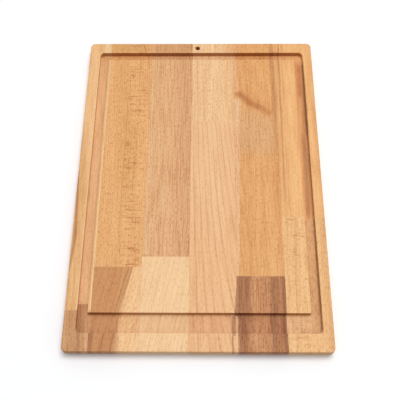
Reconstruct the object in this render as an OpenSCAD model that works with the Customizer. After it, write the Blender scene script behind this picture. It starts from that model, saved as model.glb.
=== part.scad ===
// Cutting board of edge-glued beech staves, with a juice groove, a well and a hanging hole.
// Seen from above, x runs across the board from left to right, y runs along it towards the far end,
// where the hole is, and z is up. The origin is on the flat underside, below the middle.

/* [Board] */
// Length of the board, from the near end to the far end
board_l = 500; // [480:5:600]
// Width of the board
board_w = 350; // [330:5:400]
// Thickness of the board
board_t = 18; // [14:1:30]
// Radius of the four corners, seen from above
corner_r = 7; // [4:0.5:12]
// Radius to which the top edges are rounded over
edge_r = 1.5; // [0.5:0.25:3]
// Height of the undercut below the sides, which lets fingers in under the board
undercut_h = 8; // [2:0.5:9]
// Depth of the undercut at the underside
undercut_w = 3.5; // [0.5:0.25:3.5]

/* [Juice groove] */
// Width of the straight cutter, which is the width of the three narrow runs
groove_w = 14; // [10:0.5:18]
// Depth of the groove and of the well
groove_d = 8; // [4:0.5:10]
// Width of the well along the near end, cut in passes side by side
well_w = 27.5; // [18:0.5:40]
// Rim between the left edge and the groove
rim_left = 16.5; // [10:0.5:25]
// Rim between the right edge and the groove
rim_right = 14; // [10:0.5:25]
// Rim between the far end and the groove
rim_far = 19; // [16:0.5:30]
// Rim between the near end and the well
rim_near = 24.5; // [10:0.5:30]

/* [Hanging hole] */
// Diameter of the hole, drilled right through the far rim
hole_d = 7.5; // [4:0.5:8]
// Distance of the hole from the far end
hole_from_end = 9.9; // [6:0.1:11]
// Distance of the hole from the middle of the far end, towards the left
hole_off_middle = 4.5; // [0:0.5:8]

/* [Staves] */
// Width of a full stave
stave_w = 64; // [50:0.5:70]
// Width that is left of the first column after trimming
first_stave_w = 34.5; // [33:0.5:60]
// Distance of the end joint in column 1 from the well, on the top face
joint_1 = 3; // [1:1:400]
// Distance of the end joint in column 2 from the near end, on the top face
joint_2 = 116; // [65:1:455]
// Distance of the end joint in column 3 from the near end, on the top face
joint_3 = 131; // [65:1:455]
// Distance of the end joint in column 4 from the far end, on the top face
joint_4 = 149; // [45:1:435]
// Distance of the end joint in column 5 from the near end, on the top face
joint_5 = 103; // [65:1:455]
// Distance of the end joint in column 6 from the near end, on the top face
joint_6 = 192; // [65:1:455]

/* [Finger joints] */
// Length of the glued fingers along the board
finger_l = 11; // [6:0.5:16]
// Distance from one finger to the next, down through the thickness
finger_pitch = 5.3; // [3.8:0.1:7]
// Thickness of the blunt tip of a finger
finger_tip = 0.6; // [0.2:0.1:1]

/* [Hidden] */

COLUMNS = 6;
// How far cutting shapes reach past the face that they cut through
past = 5;
half_w = board_w / 2;
half_l = board_l / 2;
// Place of the end joint in each column, on the top face
joint_y = [
    rim_near + well_w + joint_1 - half_l,
    joint_2 - half_l,
    joint_3 - half_l,
    half_l - joint_4,
    joint_5 - half_l,
    joint_6 - half_l,
];
// Place in the finger pattern at which each column's top face was planed, in pitches:
// 0 at the near tips, 0.5 at the far tips, and 0.25 and 0.75 halfway along a finger
finger_start = [0, 0.75, 0.5, 0.25, 0, 0.25];
far_colour = ["#e9b677", "#e3a869", "#dfa677", "#efc08c", "#e0a468", "#ebb473"];
near_colour = ["#c99468", "#d9a172", "#f1ca9a", "#e9b486", "#b5805e", "#ecbe82"];

// Section through the board's edge, outwards from the centre of a corner's curve and up
module edge_section() {
    polygon([
        [0, 0],
        [corner_r - undercut_w, 0],
        [corner_r, undercut_h],
        [corner_r, board_t - edge_r],
        [corner_r - edge_r, board_t],
        [0, board_t],
    ]);
    translate([corner_r - edge_r, board_t - edge_r]) circle(r = edge_r, $fn = 48);
}

// The edge section drawn out straight along +y
module straight_edge(length) {
    translate([0, length, 0]) rotate([90, 0, 0]) linear_extrude(length) edge_section();
}

// The sanded slab, before the groove and the hole are cut
module slab() {
    flat_w = board_w - 2 * corner_r;
    flat_l = board_l - 2 * corner_r;
    translate([-flat_w / 2, -flat_l / 2, 0]) cube([flat_w, flat_l, board_t]);
    for (turn = [0, 180]) rotate(turn) {
        translate([flat_w / 2, -flat_l / 2, 0]) straight_edge(flat_l);
        translate([flat_w / 2, flat_l / 2, 0]) rotate(90) straight_edge(flat_w);
        translate([flat_w / 2, flat_l / 2, 0]) rotate_extrude(angle = 90, $fn = 96) edge_section();
        translate([-flat_w / 2, flat_l / 2, 0]) rotate(90)
            rotate_extrude(angle = 90, $fn = 96) edge_section();
    }
}

// Ground covered by the cutter as its centre goes straight from a to b
module cutter_pass(a, b) {
    r = groove_w / 2;
    run = b - a;
    translate(a) rotate(atan2(run.y, run.x)) translate([0, -r]) square([norm(run), groove_w]);
    for (stop = [a, b]) translate(stop) circle(r = r, $fn = 64);
}

// The groove seen from above: three runs one cutter wide, and the well in passes side by side
module groove_plan() {
    r = groove_w / 2;
    left = rim_left + r - half_w;
    right = half_w - rim_right - r;
    far = half_l - rim_far - r;
    near = rim_near + r - half_l;
    passes = ceil(well_w / groove_w);
    step = (well_w - groove_w) / max(passes - 1, 1);
    cutter_pass([left, near], [left, far]);
    cutter_pass([left, far], [right, far]);
    cutter_pass([right, far], [right, near]);
    for (pass = [1:passes]) {
        y = near + (pass - 1) * step;
        cutter_pass([left, y], [right, y]);
    }
}

module groove_cut() {
    translate([0, 0, board_t - groove_d]) linear_extrude(groove_d + past) groove_plan();
}

module hanging_hole() {
    translate([-hole_off_middle, half_l - hole_from_end, -past])
        cylinder(d = hole_d, h = board_t + 2 * past, $fn = 64);
}

// Glue line on the left of a column; the first and the last lie outside the board
function glue_line(column) =
    column == 1 ? -half_w - past :
    column > COLUMNS ? half_w + past :
    -half_w + first_stave_w + (column - 2) * stave_w;

// How far a finger joint has run from its near tips to its far tips, t pitches into the pattern
function finger_run(t) = let (part = t - floor(t)) part < 0.5 ? 2 * part : 2 - 2 * part;

// The joint seen from the side, as points of y and z from above the top face to below the underside
function finger_line(column) =
    let (
        start = finger_start[column - 1],
        near_tips = joint_y[column - 1] - finger_l * finger_run(start),
        last = ceil(2 * (start + board_t / finger_pitch)) + 1
    ) [
        for (tip = [-1:last], side = [finger_tip / 2, -finger_tip / 2]) [
            near_tips + (tip % 2 == 0 ? 0 : finger_l),
            board_t - (tip / 2 - start) * finger_pitch + side
        ]
    ];

// Block of wood that a stave is cut from; way is 1 towards the far end and -1 towards the near end
module stave_block(column, way) {
    line = finger_line(column);
    top = line[0].y;
    bottom = line[len(line) - 1].y;
    end = way * (half_l + past);
    translate([glue_line(column), 0, 0]) rotate([90, 0, 90])
        linear_extrude(glue_line(column + 1) - glue_line(column))
            polygon(concat(line, [[end, bottom], [end, top]]));
}

module stave(column, way) {
    intersection() {
        difference() {
            slab();
            groove_cut();
            hanging_hole();
        }
        stave_block(column, way);
    }
}

module far_stave(column) {
    color(far_colour[column - 1]) stave(column, 1);
}

module near_stave(column) {
    color(near_colour[column - 1]) stave(column, -1);
}

far_stave(1);  // stave_1_far
near_stave(1);  // stave_1_near
far_stave(2);  // stave_2_far
near_stave(2);  // stave_2_near
far_stave(3);  // stave_3_far
near_stave(3);  // stave_3_near
far_stave(4);  // stave_4_far
near_stave(4);  // stave_4_near
far_stave(5);  // stave_5_far
near_stave(5);  // stave_5_near
far_stave(6);  // stave_6_far
near_stave(6);  // stave_6_near
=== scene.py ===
# A cutting board of edge-glued beech staves on a white floor.
# The staves keep their shapes from the frame, and this script gives each one its own wood.
# The camera, the lamp and the floor's mesh are in metres. The board's values and all recipes of
# materials are in millimetres in the frame: x across the board, y along it towards the hanging
# hole, z up.
import math
from dataclasses import dataclass

import bpy
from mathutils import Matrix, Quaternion, Vector


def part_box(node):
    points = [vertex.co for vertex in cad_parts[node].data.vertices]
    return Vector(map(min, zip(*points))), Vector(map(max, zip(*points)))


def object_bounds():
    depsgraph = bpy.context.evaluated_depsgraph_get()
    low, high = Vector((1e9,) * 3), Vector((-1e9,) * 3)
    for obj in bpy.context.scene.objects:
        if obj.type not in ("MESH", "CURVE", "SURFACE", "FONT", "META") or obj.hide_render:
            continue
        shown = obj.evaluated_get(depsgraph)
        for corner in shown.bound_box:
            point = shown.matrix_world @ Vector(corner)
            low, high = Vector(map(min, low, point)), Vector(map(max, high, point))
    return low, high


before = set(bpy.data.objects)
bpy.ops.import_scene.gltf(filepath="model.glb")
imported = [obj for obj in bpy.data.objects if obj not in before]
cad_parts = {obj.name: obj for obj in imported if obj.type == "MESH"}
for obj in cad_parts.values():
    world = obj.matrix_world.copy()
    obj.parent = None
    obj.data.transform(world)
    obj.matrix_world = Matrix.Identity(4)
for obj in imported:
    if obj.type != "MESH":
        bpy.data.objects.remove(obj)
cad_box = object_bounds()

# A millimetre in metres
MM = 0.001

# Camera
CAMERA_AT = (0.0145, -0.4900, 0.8940)
CAMERA_AIM = (0.0012, -0.0323, 0.0180)
CAMERA_ROLL = -1.39
CAMERA_LENS = 63.00
SENSOR_WIDTH = 36.0

# Light
LAMP_AT = (0.45, 0.3, 3.0)
LAMP_AIM = (0.0, 0.0, 0.0)
LAMP_SIZE = 1.5
LAMP_POWER = 47.0
WORLD_LIGHT = 0.5

# Floor: its grey as it lights the board, and its colour as the camera sees it
FLOOR_COLOUR = 0.8
FLOOR_SEEN = (1.07, 1.08, 1.10)
FLOOR_SIZE = 6.0
FLOOR_DROP = 0.0002
# Distances from the board's sides between which the floor turns plain white, in millimetres
FLOOR_FADE = (20.0, 200.0)

# Board, in millimetres
BOARD_TOP = cad_box[1].z / MM
HALF_W = cad_box[1].x / MM
HALF_L = cad_box[1].y / MM
# Distances from a glue line at which its hairline starts and is full
GLUE_LINE = (0.308, 0.088)
# Distances from the board's own sides between which that hairline starts, as no glue is there
GLUE_LINE_CLEAR = (0.5, 1.0)
# Distances from the sides, and from the top and the underside, past which a face is cut into the
# board: one that starts to count, and one at which it counts in full
GROOVE_FROM_SIDE = (3.0, 4.0)
GROOVE_FROM_FLAT = (0.2, 0.6)
# How far up or down a face has to turn to count as a floor, and how far sideways as a wall
FLOOR_FACING = (0.6, 0.9)
WALL_FACING = (0.4, 0.9)
# Heights between which shallow stains and the painted shade and highlight lines end, just below the
# groove's floor
SHALLOW = (6.0, 9.0)

# Patterns of the wood: sizes of their lumps along x, y and z, and levels of noise between which
# they show. The length of the sways and of the bands is in each stave's look.
SWAY_WIDTH = 26.0
SWAY_REACH = 5.0
BAND_WIDTH = 8.0
BAND_HEIGHT = 12.0
BAND_LEVELS = (0.34, 0.66)
CLOUD_SIZE = (16.0, 34.0, 16.0)
CLOUD_LEVELS = (0.3, 0.7)
WANDER_SIZE = (5.0, 13.0, 9.0)
WANDER_REACH = 8.0
STREAK_LEVELS = (0.42, 0.68)
RING_DRIFT_SIZE = (22.0, 190.0, 22.0)
RING_VARY_SIZE = (7.0, 90.0, 7.0)
RING_VARY_LEVELS = (0.28, 0.6)
RING_LEAST = 0.3
# Points in a year, from 0 to 1, at which its late wood is full, starts to fade and is gone
LATE_FULL = 0.94
LATE_FADES = 0.95
LATE_GONE = 1.0
CROWD_SIZE = (14.0, 30.0, 14.0)
CROWD_SHARE = 0.1
FLECK_SIZE = (1.5, 5.0, 1.5)
FLECK_LEVELS = (0.5, 0.78)
FLAKE_PATCH_SIZE = (30.0, 36.0, 30.0)
FLAKE_PATCH_LEVELS = (0.4, 0.54)
LONG_FLAKE_SIZE = (22.0, 2.6, 12.0)
LONG_FLAKE_LEVELS = (0.53, 0.72)
SHORT_FLAKE_SIZE = (7.0, 2.4, 6.0)
SHORT_FLAKE_LEVELS = (0.54, 0.76)
SHORT_FLAKE_SHARE = 0.6
# How far outside their stretch the flakes start, and how far inside it they are full
FLAKES_OUTSIDE = 4.0
FLAKES_INSIDE = 3.0
# Detail of a noise: much of it roughens the lumps, and little leaves them smooth
ROUGH = 3.0
SMOOTH = 1.0
# Step from one stave's noise to the next one's
SEED_STEP = 37.0

# Finish: how far streaks are sunk beside flecks, the strength of the relief and its depth in
# metres, and how rough and glossy the wood is
STREAK_SUNK = 0.4
BUMP_STRENGTH = 0.35
BUMP_DEPTH = 0.00006
ROUGHNESS = 0.48
STREAK_ROUGHER = 0.08
GLOSS = 0.28

# Colours that darken the wood they lie on
STREAK = "#cfa886"
GROWTH_LINE = "#c29876"
FLECK = "#b07748"
FLAKE = "#b98350"
SEAM = "#8f6647"
SEAM_STRENGTH = 0.15
# Colours that darken the faces cut across the wood or into it, and how much of each is laid on:
# the groove's walls have one for cuts across the grain and one for cuts along it. In the groove
# these are partly the cut wood's own colour and partly painted shade: the floor and the walls
# across the grain get both, and the walls along the grain get painted shade only. The outer
# faces across the grain get the end grain's own darker colour.
GROOVE_FLOOR_CUT_AND_SHADE = "#eeddcf"
GROOVE_FLOOR_CUT_AND_SHADE_STRENGTH = 0.42
GROOVE_WALL_CUT_AND_SHADE = "#ab7e54"
WALL_ACROSS_CUT_AND_SHADE_STRENGTH = 0.7
WALL_ALONG_SHADE_STRENGTH = 0.1
END_GRAIN = "#abaaac"
END_GRAIN_STRENGTH = 0.47


def linear(code):
    """Linear colour of a written one such as #e9b677."""
    parts = [int(code[i:i + 2], 16) / 255 for i in (1, 3, 5)]
    return tuple(c / 12.92 if c <= 0.04045 else ((c + 0.055) / 1.055) ** 2.4 for c in parts) + (1.0,)


class Field:
    """A number that varies over a surface and takes part in plain arithmetic."""

    def __init__(self, graph, socket):
        self.graph = graph
        self.socket = socket

    def __add__(self, other):
        return self.graph.math("ADD", self, other)

    def __sub__(self, other):
        return self.graph.math("SUBTRACT", self, other)

    def __rsub__(self, other):
        return self.graph.math("SUBTRACT", other, self)

    def __mul__(self, other):
        return self.graph.math("MULTIPLY", self, other)

    def __truediv__(self, other):
        return self.graph.math("DIVIDE", self, other)

    def __neg__(self):
        return self * -1.0

    def __abs__(self):
        return self.graph.math("ABSOLUTE", self)

    __radd__ = __add__


class Graph:
    """The node tree of a material or of the world, written as arithmetic on fields."""

    def __init__(self, tree, seed=0.0):
        self.tree = tree
        self.seed = seed
        tree.nodes.clear()

    def node(self, kind, inputs=(), **settings):
        """A new node with its inputs, by name or number, and its settings."""
        made = self.tree.nodes.new(kind)
        for name, value in settings.items():
            setattr(made, name, value)
        for key, value in dict(inputs).items():
            self.feed(made.inputs[key], value)
        return made

    def field(self, kind, inputs=(), output=0, **settings):
        """One output of a new node."""
        return Field(self, self.node(kind, inputs, **settings).outputs[output])

    def feed(self, socket, value):
        """Links a field to a socket, or sets a plain value on it."""
        if isinstance(value, Field):
            self.tree.links.new(value.socket, socket)
        else:
            socket.default_value = value

    def output(self, kind, shader):
        """The tree's output node, fed by a shader."""
        self.node(kind, {0: shader})

    def math(self, operation, *values):
        return self.field("ShaderNodeMath", enumerate(values), operation=operation)

    def split(self, source):
        """The three parts of a texture coordinate."""
        where = self.field("ShaderNodeTexCoord", output=source)
        parts = self.node("ShaderNodeSeparateXYZ", {0: where})
        return [Field(self, part) for part in parts.outputs]

    def place(self):
        """Place of the shaded point in millimetres, as three fields."""
        return [part * (1 / MM) for part in self.split("Object")]

    def facing(self):
        """How far the surface faces along x, y and z, as three fields."""
        return self.split("Normal")

    def camera_ray(self):
        """1 for what the camera sees directly, 0 for all other light."""
        return self.field("ShaderNodeLightPath", output="Is Camera Ray")

    def point(self, place, size):
        """A place divided by a size and moved by the seed, for a texture to read."""
        scaled = [value / part + self.seed for value, part in zip(place, size)]
        return self.field("ShaderNodeCombineXYZ", enumerate(scaled))

    def noise(self, place, size, detail=2.0):
        """Smooth noise about 0.5, with lumps of a size along x, y and z."""
        inputs = {"Vector": self.point(place, size), "Scale": 1.0, "Detail": detail}
        return self.field("ShaderNodeTexNoise", inputs)

    def rise(self, value, low, high):
        """0 below low, 1 above high and a smooth step between. Low may be the larger."""
        inputs = {"Value": value, "From Min": low, "From Max": high}
        return self.field("ShaderNodeMapRange", inputs, interpolation_type="SMOOTHSTEP")

    def lumps(self, place, size, levels, detail=2.0):
        """Noise turned into lumps: 0 at the first of two levels and 1 at the second."""
        return self.rise(self.noise(place, size, detail), *levels)

    def mix(self, factor, first, second, blend="MIX"):
        """Goes from the first colour to the second, or lays the second on by another blend."""
        made = self.node("ShaderNodeMix", data_type="RGBA", blend_type=blend)
        self.feed(made.inputs[0], factor)
        self.feed(made.inputs[6], first)
        self.feed(made.inputs[7], second)
        return Field(self, made.outputs[2])

    def paint(self, colour, factor, code):
        """Turns a colour towards a written one."""
        return self.mix(factor, colour, linear(code))

    def darken(self, colour, factor, code):
        """Darkens a colour by a written one, as a glaze does."""
        return self.mix(factor, colour, linear(code), "MULTIPLY")


@dataclass
class StainOrPaintedLight:
    """A streak, patch or stretch of other wood along a line from start to end on the top face; a few
    of them are painted shade or a painted highlight instead. It goes right through the board, unless
    it is shallow: then it ends below the groove."""

    start: tuple
    end: tuple
    # Width at the start and at the end
    width: tuple
    colour: str
    strength: float = 1.0
    # Half the width of the blurred sides, how much they wander, and half the blurred ends' length
    soft: float = 2.0
    ragged: float = 0.5
    fade: float = 8.0
    shallow: bool = False


@dataclass
class Look:
    """How one stave was sawn and coloured. The grain drifts sideways by lean for each millimetre
    along, and fan makes that drift differ across the stave."""

    # Colours of the pale and of the deep bands
    pale: str
    deep: str
    lean: float = 0.0
    fan: float = 0.0
    # How much the grain sways and over what length, and the length of the bands
    waver: float = 0.6
    waver_run: float = 60.0
    tone_run: float = 240.0
    # Growth rings: spacing, strength, point in a year at which late wood begins, and drift in years
    ring: float = 3.2
    ring_depth: float = 0.25
    ring_edge: float = 0.5
    ring_drift: float = 1.2
    # Centre of the tree: how far across from the stave's middle, and its height
    pith: tuple = (8.0, -70.0)
    # Strength and size of the streaks, and strength of the flecks
    streak: float = 0.35
    streak_size: tuple = (1.3, 46.0, 1.6)
    fleck: float = 0.35
    # Strength of the ray flakes, and the stretch across the board in which they show
    flake: float = 0.0
    flake_span: tuple = (0.0, 0.0)
    # Share that clouds have in mixing the two colours
    cloud: float = 0.3
    stains_and_painted_light: tuple = ()


class Spot:
    """What the recipes know about the shaded point: its place, its place in the grain, its face."""

    def __init__(self, graph, look, left, right):
        self.here = graph.place()
        self.x, self.y, self.z = self.here
        self.left, self.right = left, right
        self.middle = (left + right) / 2
        sway = graph.noise(self.here, (SWAY_WIDTH, look.waver_run, SWAY_WIDTH)) - 0.5
        drift = look.lean + (self.x - self.middle) * look.fan
        self.grain = self.x + self.y * drift + sway * (SWAY_REACH * look.waver)
        self.along = (self.grain, self.y, self.z)
        self.facing = [abs(value) for value in graph.facing()]


def base_colour(graph, spot, look):
    """The two colours of the stave in broad bands along the grain, with faint clouds."""
    bands = graph.lumps(spot.along, (BAND_WIDTH, look.tone_run, BAND_HEIGHT), BAND_LEVELS, ROUGH)
    clouds = graph.lumps(spot.here, CLOUD_SIZE, CLOUD_LEVELS, ROUGH)
    tone = bands * (1 - look.cloud) + clouds * look.cloud
    return graph.mix(tone, linear(look.pale), linear(look.deep))


def lay_stains_and_painted_light(graph, spot, look, colour):
    """Lays the stave's stains, painted shade and painted highlights on its colour. Their sides wander
    and their ends fade.
    """
    wander = graph.noise(spot.along, WANDER_SIZE, ROUGH) - 0.5
    upper = graph.rise(spot.z, *SHALLOW)
    for stain_or_painted_light in look.stains_and_painted_light:
        (x0, y0), (x1, y1) = stain_or_painted_light.start, stain_or_painted_light.end
        length = math.dist(stain_or_painted_light.start, stain_or_painted_light.end)
        dx, dy = (x1 - x0) / length, (y1 - y0) / length
        right, up = spot.x - x0, spot.y - y0
        run = (right * dx + up * dy) / length
        half = (run * (stain_or_painted_light.width[1] - stain_or_painted_light.width[0]) + stain_or_painted_light.width[0]) * 0.5
        outside = abs(up * dx - right * dy + wander * (WANDER_REACH * stain_or_painted_light.ragged)) - half
        fade = stain_or_painted_light.fade / length
        sides = graph.rise(outside, stain_or_painted_light.soft, -stain_or_painted_light.soft)
        ends = graph.rise(run, -fade, fade) * graph.rise(run, 1 + fade, 1 - fade)
        strength = upper * stain_or_painted_light.strength if stain_or_painted_light.shallow else stain_or_painted_light.strength
        colour = graph.paint(colour, sides * ends * strength, stain_or_painted_light.colour)
    return colour


def growth_rings(graph, spot, look):
    """Late wood of each year, which darkens slowly and ends sharply."""
    across = spot.grain - (spot.middle + look.pith[0])
    up = spot.z - look.pith[1]
    radius = graph.math("SQRT", across * across + up * up)
    drift = graph.noise(spot.along, RING_DRIFT_SIZE) * look.ring_drift
    year = graph.math("FRACT", radius / look.ring + drift)
    late = graph.rise(year, look.ring_edge, LATE_FULL) * graph.rise(year, LATE_GONE, LATE_FADES)
    vary = graph.lumps(spot.along, RING_VARY_SIZE, RING_VARY_LEVELS)
    return late * (vary * (1 - RING_LEAST) + RING_LEAST)


def flecks(graph, spot):
    """Short dark dashes along the grain, thicker in some places than in others."""
    crowd = graph.noise(spot.here, CROWD_SIZE) * CROWD_SHARE
    return graph.rise(graph.noise(spot.along, FLECK_SIZE, SMOOTH) + crowd, *FLECK_LEVELS)


def flakes(graph, spot, look):
    """Bars across the grain, where the saw ran along the rays of the wood."""
    low, high = look.flake_span
    start = graph.rise(spot.x, low - FLAKES_OUTSIDE, low + FLAKES_INSIDE)
    end = graph.rise(spot.x, high + FLAKES_OUTSIDE, high - FLAKES_INSIDE)
    patch = graph.lumps(spot.here, FLAKE_PATCH_SIZE, FLAKE_PATCH_LEVELS)
    long_bars = graph.lumps(spot.here, LONG_FLAKE_SIZE, LONG_FLAKE_LEVELS, SMOOTH)
    short_bars = graph.lumps(spot.here, SHORT_FLAKE_SIZE, SHORT_FLAKE_LEVELS, SMOOTH)
    bars = graph.math("MAXIMUM", long_bars * patch, short_bars * SHORT_FLAKE_SHARE)
    return bars * (start * end)


def inside_groove(graph, spot):
    """1 on the floor and walls of the groove, the well and the hole, 0 elsewhere."""
    to_side = graph.math("MINIMUM", HALF_W - abs(spot.x), HALF_L - abs(spot.y))
    low, high = GROOVE_FROM_FLAT
    below_top = graph.rise(spot.z, BOARD_TOP - low, BOARD_TOP - high)
    above_underside = graph.rise(spot.z, low, high)
    return graph.rise(to_side, *GROOVE_FROM_SIDE) * below_top * above_underside


def cut_faces_and_groove_shade(graph, spot, colour):
    """Changes the colour where a tool has cut the wood open or across its grain, and paints shade
    into the groove: its floor and its walls across the grain get partly the cut wood's own colour
    and partly painted shade, and its walls along the grain get painted shade only.
    """
    groove = inside_groove(graph, spot)
    floor = groove * graph.rise(spot.facing[2], *FLOOR_FACING)
    across = graph.rise(spot.facing[1], *WALL_FACING)
    along = graph.rise(spot.facing[0], *WALL_FACING)
    # Groove floor: partly the cut wood's own colour, partly painted shade of the recess
    colour = graph.darken(colour, floor * GROOVE_FLOOR_CUT_AND_SHADE_STRENGTH, GROOVE_FLOOR_CUT_AND_SHADE)
    # Groove walls across the grain: darker end grain, partly painted shade of the recess
    colour = graph.darken(colour, across * groove * WALL_ACROSS_CUT_AND_SHADE_STRENGTH, GROOVE_WALL_CUT_AND_SHADE)
    # Groove walls along the grain: painted shade
    colour = graph.darken(colour, along * groove * WALL_ALONG_SHADE_STRENGTH, GROOVE_WALL_CUT_AND_SHADE)
    return graph.darken(colour, across * (1 - groove) * END_GRAIN_STRENGTH, END_GRAIN)


def glue_lines(graph, spot):
    """1 on the hairline of glue at either side of the stave."""
    near = graph.math("MINIMUM", abs(spot.x - spot.left), abs(spot.x - spot.right))
    bare, glued = GLUE_LINE_CLEAR
    return graph.rise(near, *GLUE_LINE) * graph.rise(abs(spot.x), HALF_W - bare, HALF_W - glued)


def wood(material, look, left, right, seed):
    """Fills a material with the wood of one stave, which lies between two glue lines."""
    graph = Graph(material.node_tree, seed)
    spot = Spot(graph, look, left, right)
    colour = base_colour(graph, spot, look)
    colour = lay_stains_and_painted_light(graph, spot, look, colour)
    streaks = graph.lumps(spot.along, look.streak_size, STREAK_LEVELS, ROUGH)
    dashes = flecks(graph, spot)
    colour = graph.darken(colour, streaks * look.streak, STREAK)
    colour = graph.darken(colour, growth_rings(graph, spot, look) * look.ring_depth, GROWTH_LINE)
    colour = graph.darken(colour, dashes * look.fleck, FLECK)
    if look.flake:
        colour = graph.darken(colour, flakes(graph, spot, look) * look.flake, FLAKE)
    colour = graph.darken(colour, glue_lines(graph, spot) * SEAM_STRENGTH, SEAM)
    # The cut faces' own colour, and painted shade in the groove
    colour = cut_faces_and_groove_shade(graph, spot, colour)

    height = -(dashes + streaks * STREAK_SUNK)
    relief = {"Height": height, "Strength": BUMP_STRENGTH, "Distance": BUMP_DEPTH}
    finish = {
        "Base Color": colour,
        "Roughness": streaks * STREAK_ROUGHER + ROUGHNESS,
        "Specular IOR Level": GLOSS,
        "Normal": graph.field("ShaderNodeBump", relief),
    }
    graph.output("ShaderNodeOutputMaterial", graph.field("ShaderNodeBsdfPrincipled", finish))


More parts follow.
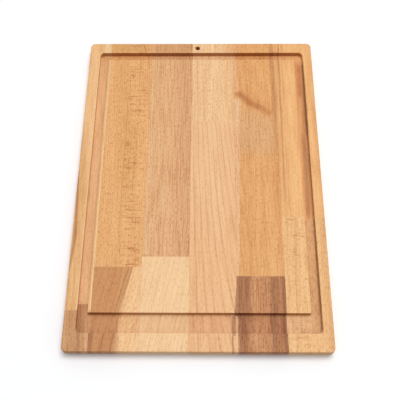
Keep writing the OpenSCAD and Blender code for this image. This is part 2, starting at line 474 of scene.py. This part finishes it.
LOOKS = {
    "stave_1_far": Look(
        "#f6c48a", "#e9b376", lean=0.05, fleck=0.2, streak=0.3, ring=5.0, waver=1.4,
        stains_and_painted_light=(
            StainOrPaintedLight((-147, 252), (-147, 229), (11, 11), "#fad49f", 0.8, 1.0, 0.0, 2),
            # Painted highlight: a pale line along the inner edge of the left groove run
            StainOrPaintedLight((-141.5, 216), (-141.5, -200), (1.9, 1.9), "#fcd5a2", 0.8, 0.5, 0.0, shallow=True),
            StainOrPaintedLight((-175, 230), (-175, 206), (3, 3), "#a9784e", 0.8, 1.2, 0.5),
            StainOrPaintedLight((-166, 256), (-166, 40), (20, 20), "#fdcd96", 0.6, 3.0, 0.4, 30),
            StainOrPaintedLight((-174.5, 14), (-170.5, -90), (2.5, 4.5), "#bd7c48", 0.75, 1.2, 0.2),
            StainOrPaintedLight((-170.5, -86), (-173.5, -135), (4.5, 3.0), "#c08049", 0.7, 1.2, 0.2),
            StainOrPaintedLight((-173.5, -130), (-172.5, -196), (2.5, 2.5), "#cf8f57", 0.5, 1.2, 0.2, 4),
            StainOrPaintedLight((-152.5, 220), (-152.5, -204), (15, 15), "#fcd6a6", 0.55, 1.0, 0.0, shallow=True),
        ),
    ),
    "stave_1_near": Look(
        "#dda978", "#cb9565", lean=0.07, streak=0.45, ring=2.6, fleck=0.3,
        stains_and_painted_light=(
            StainOrPaintedLight((-144, -186), (-143, -252), (9.5, 9.5), "#e5b383", 0.85, 2.0, 0.3),
            StainOrPaintedLight((-156.0, -180), (-153.5, -254), (3.5, 5), "#a0704a", 0.45, 1.6, 0.4),
            StainOrPaintedLight((-140.6, -226), (-140.2, -254), (1.0, 1.0), "#8a5a38", 0.7, 0.5, 0.1, 2),
        ),
    ),
    "stave_2_far": Look(
        "#f8bf82", "#ecb070", lean=0.02, ring_depth=0.12, pith=(-150.0, 10.0), fleck=0.4,
        flake=0.6, flake_span=(-109.0, -82.0), streak=0.25,
        stains_and_painted_light=(
            StainOrPaintedLight((-110, 252), (-110, 233), (60, 60), "#e0aa68", 0.6, 4.0, 0.5, 4),
            StainOrPaintedLight((-89.5, 246), (-86.5, 231), (1.2, 1.2), "#a06a3a", 0.8, 0.6, 0.2, 2),
            StainOrPaintedLight((-113, 245), (-92, 244.6), (1.3, 1.3), "#b07c48", 0.6, 0.7, 0.2, 3),
            StainOrPaintedLight((-107, 198.5), (-88, 198), (1.3, 1.3), "#b98450", 0.5, 0.7, 0.2, 3),
            StainOrPaintedLight((-106, 192.5), (-87, 193), (1.3, 1.3), "#b98450", 0.5, 0.7, 0.2, 3),
            StainOrPaintedLight((-107, 132), (-84, 132.4), (1.3, 1.3), "#b98450", 0.5, 0.7, 0.2, 3),
            StainOrPaintedLight((-102, 118), (-85, 118), (1.3, 1.3), "#b98450", 0.45, 0.7, 0.2, 3),
            StainOrPaintedLight((-109.6, 130), (-110.5, -110), (0.9, 0.9), "#bf8248", 0.5, 0.6, 0.3, 8),
            StainOrPaintedLight((-108.2, 36), (-108.2, 32), (1.6, 1.6), "#99623a", 0.9, 1.0, 0.2, 2),
            StainOrPaintedLight((-108.0, -108), (-108.4, -111), (1.4, 1.4), "#99623a", 0.8, 0.8, 0.2, 1),
        ),
    ),
    "stave_2_near": Look(
        "#ffd39e", "#f9c78f", lean=-0.2, ring=5.5, ring_depth=0.14, ring_edge=0.7, fleck=0.3,
        streak=0.25, pith=(120.0, -90.0),
        stains_and_painted_light=(
            StainOrPaintedLight((-117.0, -110), (-130.0, -203), (69, 50), "#d69861", 1.0, 1.0, 0.2, 3),
            StainOrPaintedLight((-129.0, -200), (-130.0, -260), (49, 50), "#d09461", 1.0, 1.0, 0.2, 3),
            StainOrPaintedLight((-138.0, -222), (-139.0, -260), (6, 7), "#ac6f45", 0.7, 2.0, 0.5, 6),
            StainOrPaintedLight((-96.0, -128), (-111.0, -215), (7, 6), "#dfa96c", 0.6, 2.0, 0.3),
            StainOrPaintedLight((-90.0, -128), (-104.5, -203), (4, 6), "#d7a370", 0.55, 1.5, 0.2, 2),
            StainOrPaintedLight((-94.0, -134), (-110.5, -203), (1.8, 1.8), "#b2774a", 0.7, 0.8, 0.2, 3),
            StainOrPaintedLight((-103.5, -226), (-105.5, -258), (5, 7), "#dba877", 0.7, 2.0, 0.2, 3),
            StainOrPaintedLight((-109.0, -226), (-113.0, -258), (2.4, 2.6), "#a86d40", 0.6, 0.8, 0.2, 3),
            StainOrPaintedLight((-121.0, -224), (-126.5, -258), (3.0, 4.0), "#b0744a", 0.6, 1.5, 0.3, 3),
            StainOrPaintedLight((-126.0, -200), (-126.0, -224), (40, 40), "#e8b07c", 0.35, 3.0, 0.3, 2, shallow=True),
        ),
    ),
    "stave_3_far": Look(
        "#f1c08b", "#eeb986", waver=0.6, waver_run=22.0, streak=0.55, streak_size=(1.0, 46.0, 1.6),
        fleck=0.35, ring_depth=0.12, cloud=0.15,
        stains_and_painted_light=(
            StainOrPaintedLight((-23, 252), (-23, -119), (20, 22), "#e2aa7a", 0.6, 8.0),
            StainOrPaintedLight((-72, 252), (-72, -119), (9, 9), "#f3c48f", 0.6, 4.0),
            StainOrPaintedLight((-45, 254), (-45, 230), (60, 60), "#d9a069", 0.6, 6.0, 0.5, 6),
            StainOrPaintedLight((-14.5, 258), (-14.5, 236), (5, 5), "#ab7950", 0.55, 3.0, 0.3, 4),
        ),
    ),
    "stave_3_near": Look(
        "#fdd6a4", "#f9ce9b", lean=-0.18, ring=6.0, ring_depth=0.18, ring_edge=0.6, streak=0.2,
        fleck=0.2, pith=(-120.0, -90.0),
    ),
    "stave_4_far": Look(
        "#ffd4a2", "#f8ca96", fleck=0.32, streak=0.3,
        stains_and_painted_light=(
            StainOrPaintedLight((46, 252), (46, 232), (20, 20), "#efb77c", 0.6, 4.0, 0.5, 3),
            StainOrPaintedLight((45, 230), (45, 101), (13, 13), "#f2c08a", 0.6, 3.0, 0.3, 6),
        ),
    ),
    "stave_4_near": Look(
        "#f9cb99", "#f4c08d", lean=0.07, fan=0.0019, waver=0.35, ring=7.0, ring_depth=0.38,
        ring_edge=0.68, ring_drift=0.4, pith=(-300.0, -120.0), streak=0.22, fleck=0.2,
        stains_and_painted_light=(
            StainOrPaintedLight((20, -60), (20, -300), (70, 70), "#f0b880", 0.4, 1.0, 0.2, 60),
            StainOrPaintedLight((51.7, -147), (50.2, -200), (0.4, 6.0), "#b17b55", 0.85, 0.8, 0.2, 1),
            StainOrPaintedLight((46.7, -200), (46.4, -229), (5.0, 5.0), "#b98460", 0.8, 1.0, 0.2, 1),
            StainOrPaintedLight((44.8, -229), (44.8, -254), (1.4, 1.4), "#8f6140", 0.8, 0.8, 0.2, 1),
        ),
    ),
    "stave_5_far": Look(
        "#f2b778", "#eaab69", streak=0.42, streak_size=(1.1, 30.0, 1.6), fleck=0.32, ring_depth=0.2,
        stains_and_painted_light=(
            StainOrPaintedLight((112.0, 250), (112.0, 60), (6, 6), "#cc8f5b", 0.65, 2.5, 0.3, 20),
            StainOrPaintedLight((85, 120), (85, 44), (52, 54), "#e6b480", 0.75, 8.0, 0.5, 16),
            StainOrPaintedLight((60, 155), (107, 112), (22, 18), "#e09d60", 0.5, 9.0, 0.5, 8),
            StainOrPaintedLight((57.0, 142), (53.0, -150), (11, 3), "#f4c391", 0.85, 1.2, 0.1, 4),
            StainOrPaintedLight((57.2, 144), (56.6, 92), (11, 10), "#fad0a1", 0.6, 1.5, 0.1, 4),
            StainOrPaintedLight((54.5, 254), (54.5, 146), (7, 7), "#f2bd8a", 0.7, 2.0, 0.3, 4),
            StainOrPaintedLight((52, 152), (57, 148), (8, 8), "#d9935a", 0.65, 3.0, 0.5, 3),
            StainOrPaintedLight((57, 154), (77, 134), (9, 10), "#c67e48", 0.75, 4.0, 0.7, 4),
            StainOrPaintedLight((74, 135), (90, 126), (11, 9), "#c47c47", 0.75, 4.0, 0.7, 4),
            StainOrPaintedLight((89, 127), (107, 114), (8, 7), "#ce874e", 0.6, 4.0, 0.7, 4),
        ),
    ),
    "stave_5_near": Look(
        "#dba16d", "#c98b59", lean=-0.03, streak=0.6, streak_size=(1.4, 30.0, 1.8), fleck=0.45,
        stains_and_painted_light=(
            StainOrPaintedLight((60, -140), (58, -254), (20, 12), "#aa7149", 0.8, 3.0, 0.6),
            StainOrPaintedLight((99.5, -140), (99, -254), (9, 8), "#a56e46", 0.75, 2.5, 0.4),
            StainOrPaintedLight((108, -140), (108, -254), (15, 15), "#b47848", 0.6, 4.0, 0.6),
            StainOrPaintedLight((113, -140), (113, -254), (5, 5), "#9c6340", 0.7, 1.5, 0.4),
            StainOrPaintedLight((52.0, -203), (52.0, -254), (1.6, 1.6), "#e0ae82", 0.9, 0.6, 0.1, 1),
        ),
    ),
    "stave_6_far": Look(
        "#fac384", "#f2b779", fleck=0.2, streak=0.3, ring=4.5,
        stains_and_painted_light=(
            StainOrPaintedLight((117.5, 250), (117.0, 20), (4, 4), "#eeb27a", 0.7, 1.5, 0.3, 20),
            StainOrPaintedLight((122.8, 250), (121.4, -30), (3.0, 2.0), "#c28452", 0.75, 1.6, 0.4, 20),
            StainOrPaintedLight((154.5, 214), (155.5, 150), (9, 6), "#cf8a55", 0.75, 3.0, 0.5, shallow=True),
            StainOrPaintedLight((158.0, 160), (157.5, 80), (5, 6), "#c48a57", 0.6, 3.0, 0.5, 12, shallow=True),
            StainOrPaintedLight((155.5, 84), (154.2, -56), (7, 7), "#c68f5d", 0.85, 3.0, 0.4, 14, shallow=True),
            # Painted shade: dark lines along the outer wall of the right groove run
            StainOrPaintedLight((160.5, 214), (160.5, 80), (3, 3), "#8f5a34", 0.55, 1.0, 0.3, 6, shallow=True),
            StainOrPaintedLight((160.5, 80), (160.0, -56), (3, 3), "#a0693e", 0.35, 1.0, 0.3, 6, shallow=True),
        ),
    ),
    "stave_6_near": Look(
        "#faca8d", "#f4c084", lean=-0.02, fleck=0.35, streak=0.2,
        flake=0.35, flake_span=(122.0, 146.0),
        stains_and_painted_light=(
            StainOrPaintedLight((154, -58), (154, -226), (14, 14), "#e0ae78", 0.5, 2.0, 0.4, 2, shallow=True),
            # Painted shade: a dark line along the outer wall of the right groove run
            StainOrPaintedLight((160.5, -58), (160.5, -226), (2.4, 2.4), "#9a6942", 0.4, 0.8, 0.2, 2, shallow=True),
            StainOrPaintedLight((168.5, -58), (168.5, -256), (12, 12), "#f4bf82", 0.6, 2.0, 0.2, 4),
            StainOrPaintedLight((128, -199.5), (128, -224.5), (40, 40), "#fbd3a6", 0.4, 12.0, 0.1, 1, shallow=True),
        ),
    ),
}


def dress(name, seed):
    """Gives one stave of the frame its own wood."""
    low, high = (corner.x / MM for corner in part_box(name))
    material = bpy.data.materials.new(name + "_wood")
    material.use_nodes = True
    wood(material, LOOKS[name], low, high, seed)
    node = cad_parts[name]
    node.data.materials.clear()
    node.data.materials.append(material)


def add_object(name, data):
    """A new object in the scene, at the origin."""
    made = bpy.data.objects.new(name, data)
    bpy.context.scene.collection.objects.link(made)
    return made


def aim(thing, place, target, roll=0.0):
    """Puts a lamp or the camera at a place and turns it to a target, rolled by some degrees."""
    look = Vector(target) - Vector(place)
    turn = Quaternion((0, 0, 1), math.radians(roll))
    thing.location = place
    thing.rotation_mode = "QUATERNION"
    thing.rotation_quaternion = look.to_track_quat("-Z", "Y") @ turn


def floor_material():
    """White that keeps the board's soft shadow. The camera sees it a little brighter and cooler
    than the board does, and plain white further away."""
    material = bpy.data.materials.new("floor")
    material.use_nodes = True
    graph = Graph(material.node_tree)
    seen = graph.camera_ray()
    colour = [FLOOR_COLOUR + seen * (part - FLOOR_COLOUR) for part in FLOOR_SEEN]
    white = graph.field("ShaderNodeCombineXYZ", enumerate(colour))
    matt = graph.field("ShaderNodeBsdfDiffuse", {"Color": white})
    glow = graph.field("ShaderNodeEmission", {"Strength": 1.0})
    x, y = graph.place()[:2]
    away = graph.math("MAXIMUM", abs(x) - HALF_W, abs(y) - HALF_L)
    share = graph.rise(away, *FLOOR_FADE) * seen
    both = graph.field("ShaderNodeMixShader", {0: share, 1: matt, 2: glow})
    graph.output("ShaderNodeOutputMaterial", both)
    return material


def add_floor():
    """A wide floor. It lies a hair below the underside, so that no two faces coincide."""
    half = FLOOR_SIZE / 2
    signs = [(-1, -1), (1, -1), (1, 1), (-1, 1)]
    corners = [(x * half, y * half, -FLOOR_DROP) for x, y in signs]
    mesh = bpy.data.meshes.new("floor")
    mesh.from_pydata(corners, [], [(0, 1, 2, 3)])
    mesh.materials.append(floor_material())
    floor = add_object("floor", mesh)


def add_world():
    """Weak even light from all round, which the camera sees as white."""
    world = bpy.data.worlds.new("studio")
    world.use_nodes = True
    bpy.context.scene.world = world
    graph = Graph(world.node_tree)
    strength = WORLD_LIGHT + graph.camera_ray() * (1.0 - WORLD_LIGHT)
    light = graph.field("ShaderNodeBackground", {"Color": (1, 1, 1, 1), "Strength": strength})
    graph.output("ShaderNodeOutputWorld", light)


def add_lamp():
    """One large soft lamp high above the board, to its right and a little behind it."""
    data = bpy.data.lights.new("softbox", "AREA")
    data.size = LAMP_SIZE
    data.energy = LAMP_POWER
    aim(add_object("softbox", data), LAMP_AT, LAMP_AIM)


def add_camera():
    """The camera, high up in front of the board's near end and looking down at the board."""
    data = bpy.data.cameras.new("camera")
    data.sensor_width = SENSOR_WIDTH
    data.lens = CAMERA_LENS
    camera = add_object("camera", data)
    aim(camera, CAMERA_AT, CAMERA_AIM, CAMERA_ROLL)
    bpy.context.scene.camera = camera


for index, name in enumerate(LOOKS):
    dress(name, index * SEED_STEP)
add_floor()
add_world()
add_lamp()
add_camera()
bpy.context.scene.view_settings.view_transform = "Standard"
